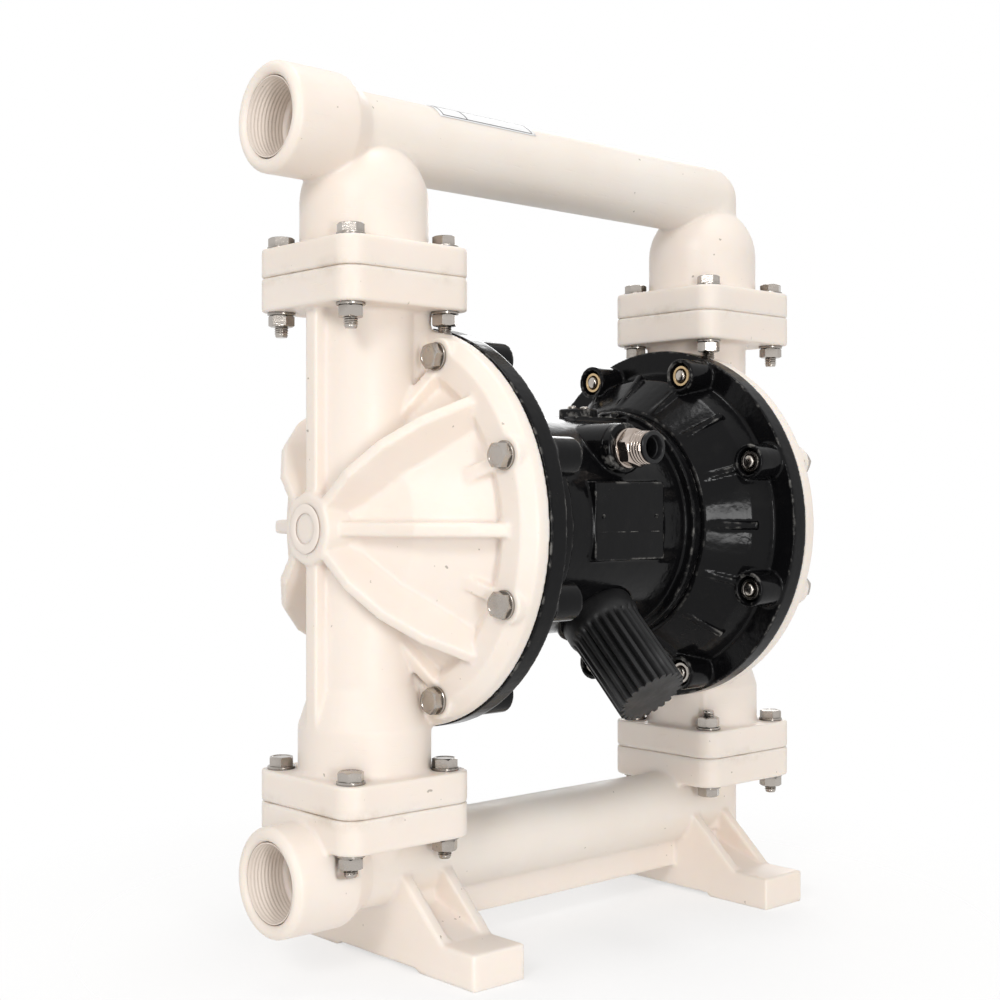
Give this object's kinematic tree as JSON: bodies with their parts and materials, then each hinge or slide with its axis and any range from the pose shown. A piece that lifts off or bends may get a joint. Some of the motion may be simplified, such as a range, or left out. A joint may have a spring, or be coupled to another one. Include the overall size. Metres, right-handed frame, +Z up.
{
  "type": "air operated diaphragm pump",
  "caption": "White plastic air operated double diaphragm pump with black painted air chambers, side ports, feet, an air inlet fitting and a fluted muffler.",
  "frame": {"origin": "middle of the overall length and width, on the floor under the feet", "axes": "+Z up, +X along the shaft away from the ports, the ports face -X and the air inlet faces -Y"},
  "size_m": [0.4048, 0.232, 0.5005],
  "materials": {
    "white_plastic": "moulded, slightly satin",
    "black_paint": "gloss black paint on cast aluminium",
    "stainless": "bright hexagon hardware",
    "black_rubber": "matt",
    "steel": "ground",
    "plate_metal": "machined",
    "ball_plastic": "smooth",
    "muffler_plastic": "matt",
    "nickel": "bright nickel plating",
    "collar_plastic": "satin"
  },
  "bodies": {
    "housing": {"discharge_manifold": "white_plastic", "suction_manifold": "white_plastic", "fluid_cover_left": "white_plastic", "fluid_cover_right": "white_plastic", "air_chamber_left": "black_paint", "air_chamber_right": "black_paint", "diaphragm_left": "black_rubber", "diaphragm_right": "black_rubber", "centre_body": "black_paint", "muffler": "muffler_plastic", "air_inlet_fitting": "nickel", "pilot_cover": "black_paint", "gallery_plug": "stainless", "flange_bolts": "stainless", "cover_bolts": "stainless", "cover_nuts": "stainless"},
    "shaft": {"shaft": "steel", "inner_plates": "plate_metal", "outer_plates": "plate_metal"},
    "pilot": {"pilot_rod": "steel"},
    "suction_ball_left": {"suction_ball_left": "ball_plastic"},
    "suction_ball_right": {"suction_ball_right": "ball_plastic"},
    "discharge_ball_left": {"discharge_ball_left": "ball_plastic"},
    "discharge_ball_right": {"discharge_ball_right": "ball_plastic"},
    "collar": {"release_collar": "collar_plastic"},
    "spool": {"valve_spool": "steel"}
  },
  "joints": [
    {"name": "shaft_stroke", "type": "slide", "parent": "housing", "child": "shaft", "axis": [1, 0, 0], "range_m": [-0.012, 0.012], "deforming": ["diaphragm_left", "diaphragm_right"]},
    {"name": "pilot_stroke", "type": "slide", "parent": "housing", "child": "pilot", "axis": [1, 0, 0], "range_m": [-0.005, 0.005]},
    {"name": "spool_shift", "type": "slide", "parent": "housing", "child": "spool", "axis": [1, 0, 0], "range_m": [-0.0095, 0.0095]},
    {"name": "suction_ball_left_lift", "type": "slide", "parent": "housing", "child": "suction_ball_left", "axis": [0, 0, 1], "range_m": [0, 0.011]},
    {"name": "suction_ball_right_lift", "type": "slide", "parent": "housing", "child": "suction_ball_right", "axis": [0, 0, 1], "range_m": [0, 0.011]},
    {"name": "discharge_ball_left_lift", "type": "slide", "parent": "housing", "child": "discharge_ball_left", "axis": [0, 0, 1], "range_m": [0, 0.011]},
    {"name": "discharge_ball_right_lift", "type": "slide", "parent": "housing", "child": "discharge_ball_right", "axis": [0, 0, 1], "range_m": [0, 0.011]},
    {"name": "collar_press", "type": "slide", "parent": "housing", "child": "collar", "axis": [0, 1, 0], "range_m": [0, 0.0012]}
  ],
  "couplings": [
    {"joint": "pilot_stroke", "follows": "shaft_stroke", "ratio": 0.4166}
  ]
}
